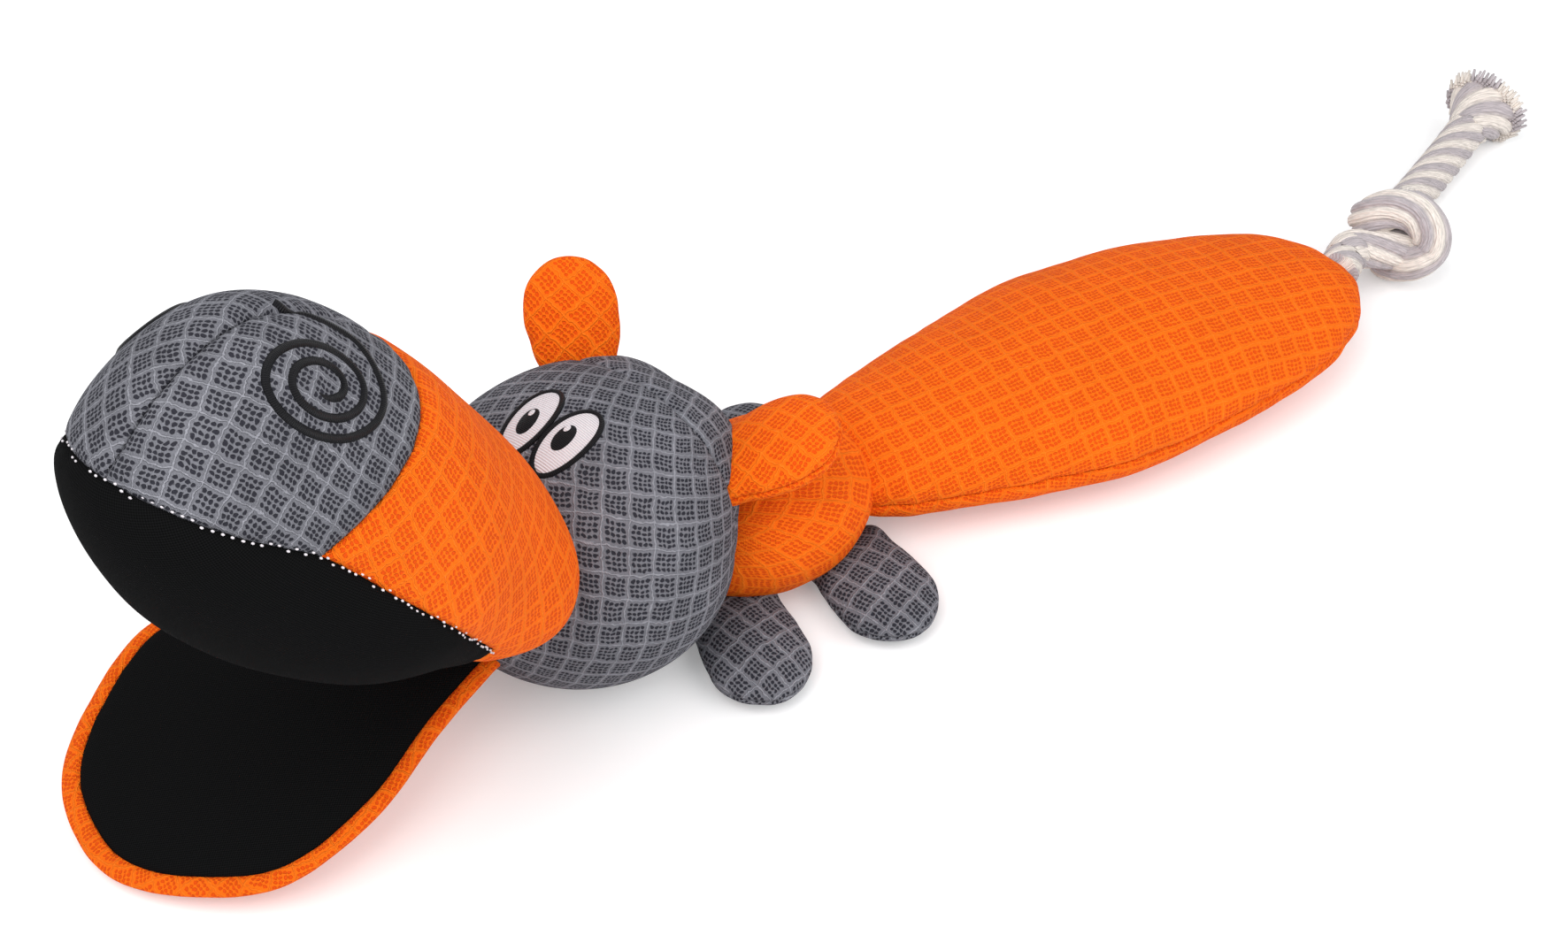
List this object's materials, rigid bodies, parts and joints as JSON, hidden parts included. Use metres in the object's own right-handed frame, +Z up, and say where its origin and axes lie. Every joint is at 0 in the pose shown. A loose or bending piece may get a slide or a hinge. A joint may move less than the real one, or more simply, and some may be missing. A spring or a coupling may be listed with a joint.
{
  "type": "dog toy",
  "caption": "Stuffed mesh-cloth dog toy: wide open mouth, ball head, short body with paws, padded paddle tail and knotted cotton rope.",
  "frame": {"origin": "middle of the small flat that the ball head stands on", "axes": "+X from the tail towards the mouth along the body, +Y to the animal's left, +Z up"},
  "size_m": [0.4773, 0.1167, 0.1689],
  "materials": {
    "grey_mesh": "raised lattice mesh cloth",
    "orange_mesh": "raised lattice mesh cloth",
    "black_lining": "fine ribbed lining cloth",
    "filling": "loose polyester fibre",
    "white_thread": "satin stitch",
    "black_thread": "satin stitch",
    "vinyl": "soft moulded vinyl",
    "cotton": "twisted two-colour cotton"
  },
  "bodies": {
    "body": {"body_back_panel": "orange_mesh", "body_belly_panel": "orange_mesh", "body_filling": "filling"},
    "head": {"head_face_panel": "grey_mesh", "head_back_panel": "grey_mesh", "head_filling": "filling", "eye_left": "white_thread", "eye_right": "white_thread", "nose_panel_left": "grey_mesh", "nose_panel_right": "grey_mesh", "cheek_band": "orange_mesh", "palate_panel": "black_lining", "nostril_left": "black_thread", "nostril_right": "black_thread", "muzzle_filling": "filling", "squeaker_bladder": "vinyl", "squeaker_reed": "vinyl"},
    "jaw": {"jaw_lining": "black_lining", "jaw_underside": "orange_mesh", "jaw_filling": "filling"},
    "ear_left": {"ear_left_upper_panel": "orange_mesh", "ear_left_lower_panel": "orange_mesh", "ear_left_filling": "filling"},
    "ear_right": {"ear_right_upper_panel": "orange_mesh", "ear_right_lower_panel": "orange_mesh", "ear_right_filling": "filling"},
    "front_paw_left": {"front_paw_left_upper_panel": "grey_mesh", "front_paw_left_lower_panel": "grey_mesh", "front_paw_left_filling": "filling"},
    "front_paw_right": {"front_paw_right_upper_panel": "grey_mesh", "front_paw_right_lower_panel": "grey_mesh", "front_paw_right_filling": "filling"},
    "hind_paw_left": {"hind_paw_left_upper_panel": "grey_mesh", "hind_paw_left_lower_panel": "grey_mesh", "hind_paw_left_filling": "filling"},
    "hind_paw_right": {"hind_paw_right_upper_panel": "grey_mesh", "hind_paw_right_lower_panel": "grey_mesh", "hind_paw_right_filling": "filling"},
    "tail": {"tail_top_panel": "orange_mesh", "tail_bottom_panel": "orange_mesh", "tail_filling": "filling", "rope_anchor": "cotton"},
    "rope": {"rope_neck": "cotton", "rope_knot": "cotton", "rope_end": "cotton", "rope_fray": "cotton"}
  },
  "joints": [
    {"name": "head_turn", "type": "hinge", "parent": "body", "child": "head", "pos_m": [0, 0, 0.0395], "axis": [0, 0, 1], "range_deg": [-40, 10], "stiffness_Nm_per_rad": 0.4},
    {"name": "jaw_open", "type": "hinge", "parent": "head", "child": "jaw", "pos_m": [0.034, -0.002, 0.028], "axis": [0, 1, 0], "range_deg": [-36, 12], "stiffness_Nm_per_rad": 0.3},
    {"name": "ear_left_flap", "type": "hinge", "parent": "head", "child": "ear_left", "pos_m": [-0.0309, 0.01732, 0.05984], "axis": [-0.309, -0.9511, 0], "range_deg": [-30, 30], "stiffness_Nm_per_rad": 0.02},
    {"name": "ear_right_flap", "type": "hinge", "parent": "head", "child": "ear_right", "pos_m": [-0.01581, -0.0274, 0.06557], "axis": [0.9613, -0.2756, 0], "range_deg": [-30, 30], "stiffness_Nm_per_rad": 0.02},
    {"name": "front_paw_left_lift", "type": "hinge", "parent": "body", "child": "front_paw_left", "pos_m": [-0.034, 0.02, 0.006], "axis": [1, 0, 0], "range_deg": [-15, 25], "stiffness_Nm_per_rad": 0.05},
    {"name": "front_paw_right_lift", "type": "hinge", "parent": "body", "child": "front_paw_right", "pos_m": [-0.034, -0.02, 0.006], "axis": [-1, 0, 0], "range_deg": [-15, 25], "stiffness_Nm_per_rad": 0.05},
    {"name": "hind_paw_left_lift", "type": "hinge", "parent": "body", "child": "hind_paw_left", "pos_m": [-0.068, 0.02, 0.006], "axis": [1, 0, 0], "range_deg": [-15, 25], "stiffness_Nm_per_rad": 0.05},
    {"name": "hind_paw_right_lift", "type": "hinge", "parent": "body", "child": "hind_paw_right", "pos_m": [-0.068, -0.02, 0.006], "axis": [-1, 0, 0], "range_deg": [-15, 25], "stiffness_Nm_per_rad": 0.05},
    {"name": "tail_swing", "type": "hinge", "parent": "body", "child": "tail", "pos_m": [-0.06, -0.003, 0.018], "axis": [0, 0, 1], "range_deg": [-12, 8], "stiffness_Nm_per_rad": 0.5},
    {"name": "rope_swing", "type": "hinge", "parent": "tail", "child": "rope", "pos_m": [-0.2395, 0.0035, 0.018], "axis": [0, 0, 1], "range_deg": [-30, 30], "stiffness_Nm_per_rad": 0.05}
  ]
}
